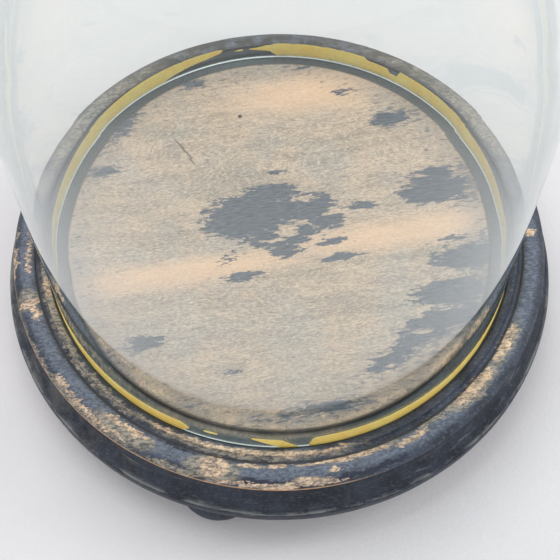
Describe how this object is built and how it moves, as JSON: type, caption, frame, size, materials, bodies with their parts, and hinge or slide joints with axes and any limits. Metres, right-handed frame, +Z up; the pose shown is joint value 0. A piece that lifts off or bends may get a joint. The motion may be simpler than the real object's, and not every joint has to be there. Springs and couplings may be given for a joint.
{
  "type": "bell jar dome",
  "caption": "Blown glass display dome with a gilt band at its foot, standing in the seat of a round turned and moulded wooden base on bun feet; the dome lifts off.",
  "frame": {"origin": "centre of the base at the table, under the feet", "axes": "+Z up along the dome's axis, one foot towards -Y"},
  "size_m": [0.249, 0.249, 0.339],
  "materials": {
    "clear_glass": "clear, polished",
    "gilding": "worn gilding, satin",
    "bare_wood": "bare, dry, with flakes of old black paint",
    "ebonised_wood": "old black paint, worn at the edges, satin",
    "screw_steel": "old bright steel"
  },
  "bodies": {
    "base": {"platform_disc": "bare_wood", "base_board": "ebonised_wood", "plinth_ring": "ebonised_wood", "foot_front": "ebonised_wood", "foot_right": "ebonised_wood", "foot_left": "ebonised_wood", "plinth_screws": "screw_steel", "platform_screws": "screw_steel"},
    "dome": {"glass_dome": "clear_glass", "gilt_band": "gilding"}
  },
  "joints": [
    {"name": "dome_lift", "type": "slide", "parent": "base", "child": "dome", "axis": [0, 0, 1], "range_m": [0, 0.32]}
  ]
}
